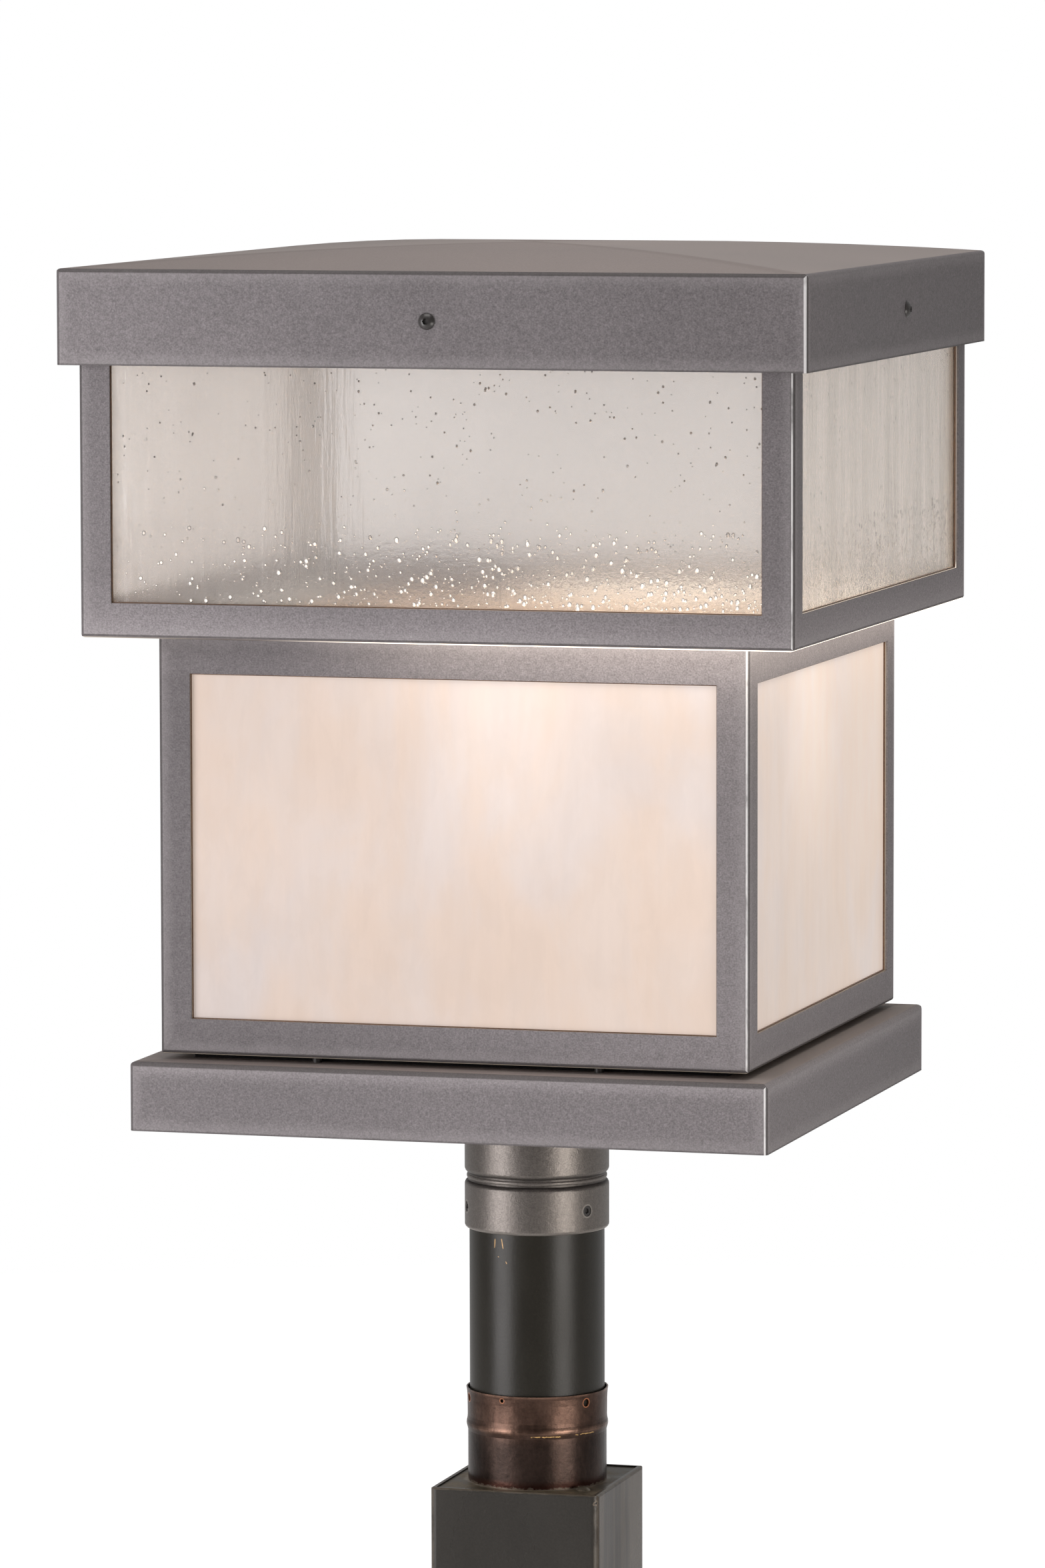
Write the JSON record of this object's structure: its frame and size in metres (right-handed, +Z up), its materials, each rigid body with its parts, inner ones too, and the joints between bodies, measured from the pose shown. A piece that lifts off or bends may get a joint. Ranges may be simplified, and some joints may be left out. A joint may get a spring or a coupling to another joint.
{
  "type": "outdoor post light",
  "caption": "Square two-tier lantern with a crowned cap, seedy upper panes and opal lower panes, on a fitter, round tube and short square post with a base plate.",
  "frame": {"origin": "on the ground, at the centre of the base plate's underside", "axes": "+Z up along the post; -Y out of the front panes; +X to the right seen from the front"},
  "size_m": [0.4236, 0.4236, 0.957],
  "materials": {
    "grey_powder_coat": "satin powder coat with a fine grain",
    "black_paint": "worn satin paint",
    "brown_copper": "tarnished copper sheet",
    "zinc_steel": "zinc plated",
    "brass": "stamped brass",
    "black_rubber": "matte foam rubber",
    "amber_silicone": "satin silicone",
    "seedy_glass": "clear glass full of small bubbles",
    "opal_glass": "cream streaked opalescent glass",
    "bulb_glass": "frosted",
    "porcelain": "glazed"
  },
  "bodies": {
    "post": {"base_plate": "black_paint", "square_post": "black_paint", "post_top_plate": "black_paint", "bond_screw": "zinc_steel", "round_tube": "black_paint", "copper_sleeve": "brown_copper"},
    "head": {"fitter": "grey_powder_coat", "fitter_bolts": "zinc_steel", "fitter_nuts": "zinc_steel", "base_tray": "grey_powder_coat", "base_seal": "black_rubber", "tray_bolts": "zinc_steel", "tray_nuts": "zinc_steel", "lower_frame_front": "grey_powder_coat", "lower_frame_right": "grey_powder_coat", "lower_frame_back": "grey_powder_coat", "lower_frame_left": "grey_powder_coat", "lower_pane_front": "opal_glass", "lower_pane_right": "opal_glass", "lower_pane_back": "opal_glass", "lower_pane_left": "opal_glass", "lower_gaskets": "amber_silicone", "lower_tracks": "zinc_steel", "tier_bolts": "zinc_steel", "tier_nuts": "zinc_steel", "upper_frame_front": "grey_powder_coat", "upper_frame_right": "grey_powder_coat", "upper_frame_back": "grey_powder_coat", "upper_frame_left": "grey_powder_coat", "upper_pane_front": "seedy_glass", "upper_pane_right": "seedy_glass", "upper_pane_back": "seedy_glass", "upper_pane_left": "seedy_glass", "upper_gaskets": "amber_silicone", "upper_tracks": "zinc_steel", "cap_seal": "black_rubber", "stem": "zinc_steel", "stem_locknuts": "zinc_steel", "socket_cup": "zinc_steel", "lamp_holder": "porcelain", "screw_shell": "brass", "centre_contact": "brass"},
    "cap": {"cap": "grey_powder_coat", "cap_ledge": "grey_powder_coat", "cap_nuts": "zinc_steel"},
    "bulb": {"bulb_globe": "bulb_glass", "bulb_base": "brass"},
    "cap_screw_front": {"cap_screw_front": "black_paint"},
    "cap_screw_right": {"cap_screw_right": "black_paint"},
    "cap_screw_back": {"cap_screw_back": "black_paint"},
    "cap_screw_left": {"cap_screw_left": "black_paint"},
    "set_screw_right": {"set_screw_right": "black_paint"},
    "set_screw_back": {"set_screw_back": "black_paint"},
    "set_screw_left": {"set_screw_left": "black_paint"}
  },
  "joints": [
    {"name": "head_turn", "type": "hinge", "parent": "post", "child": "head", "pos_m": [0, 0, 0.4031], "axis": [0, 0, 1], "range_deg": [-180, 180]},
    {"name": "cap_lift", "type": "slide", "parent": "head", "child": "cap", "axis": [0, 0, 1], "range_m": [0, 0.15]},
    {"name": "bulb_out", "type": "slide", "parent": "head", "child": "bulb", "axis": [0, 0, 1], "range_m": [0, 0.03]},
    {"name": "cap_screw_front_out", "type": "slide", "parent": "cap", "child": "cap_screw_front", "axis": [0, -1, 0], "range_m": [0, 0.008]},
    {"name": "cap_screw_right_out", "type": "slide", "parent": "cap", "child": "cap_screw_right", "axis": [1, 0, 0], "range_m": [0, 0.008]},
    {"name": "cap_screw_back_out", "type": "slide", "parent": "cap", "child": "cap_screw_back", "axis": [0, 1, 0], "range_m": [0, 0.008]},
    {"name": "cap_screw_left_out", "type": "slide", "parent": "cap", "child": "cap_screw_left", "axis": [-1, 0, 0], "range_m": [0, 0.008]},
    {"name": "set_screw_right_out", "type": "slide", "parent": "head", "child": "set_screw_right", "axis": [0.866, -0.5, 0], "range_m": [0, 0.006]},
    {"name": "set_screw_back_out", "type": "slide", "parent": "head", "child": "set_screw_back", "axis": [0, 1, 0], "range_m": [0, 0.006]},
    {"name": "set_screw_left_out", "type": "slide", "parent": "head", "child": "set_screw_left", "axis": [-0.866, -0.5, 0], "range_m": [0, 0.006]}
  ]
}
